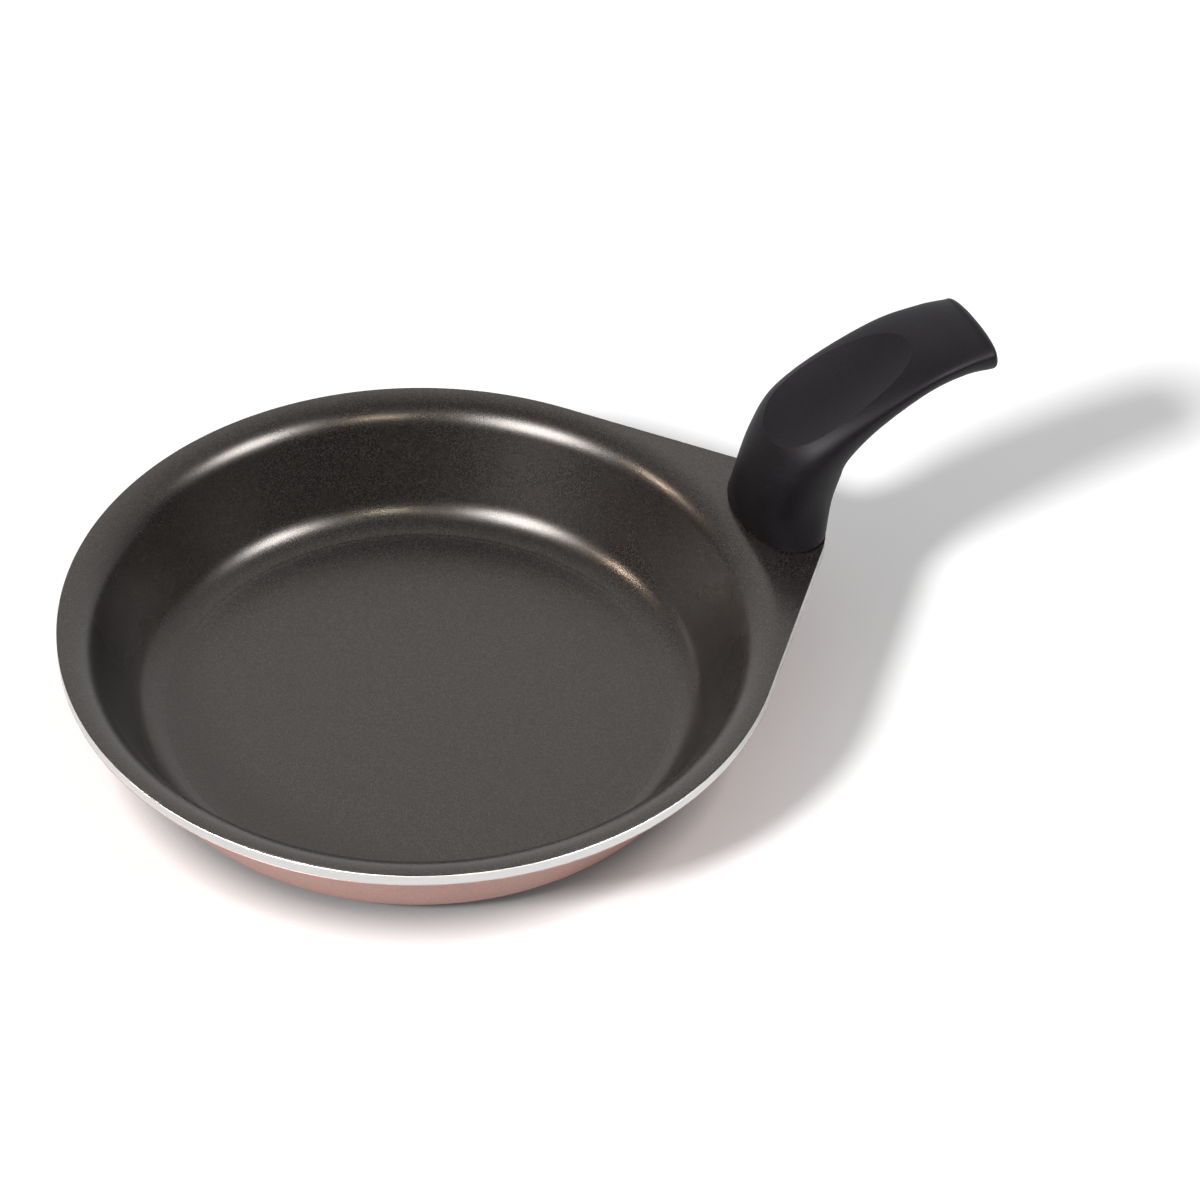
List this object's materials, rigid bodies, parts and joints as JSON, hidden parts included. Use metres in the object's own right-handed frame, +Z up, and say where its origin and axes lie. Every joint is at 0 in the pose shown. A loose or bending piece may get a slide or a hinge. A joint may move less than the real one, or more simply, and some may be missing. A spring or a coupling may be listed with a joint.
{
  "type": "egg pan",
  "caption": "Small round egg pan with a flared rim, a dark non-stick inside, a rose outside and a short upright curved grip on a tongue of the rim.",
  "frame": {"origin": "on the bowl's axis at the underside of the base, which rests on the table", "axes": "+Z up along the bowl's axis, +X from the bowl's axis towards the handle"},
  "size_m": [0.2465, 0.18, 0.0777],
  "materials": {
    "aluminium": "bare cut edge and base",
    "coating": "dark grey non-stick coat with fine metallic flecks, satin",
    "enamel": "rose metallic paint, satin",
    "phenolic": "black moulded phenolic, soft sheen",
    "brass": "machined",
    "steel": "zinc plated"
  },
  "bodies": {
    "root": {"pan_body": "aluminium", "nonstick_coating": "coating", "outer_enamel": "enamel", "handle_grip": "phenolic", "threaded_insert": "brass", "fixing_screw": "steel", "spring_washer": "steel", "flat_washer": "steel"}
  },
  "joints": []
}
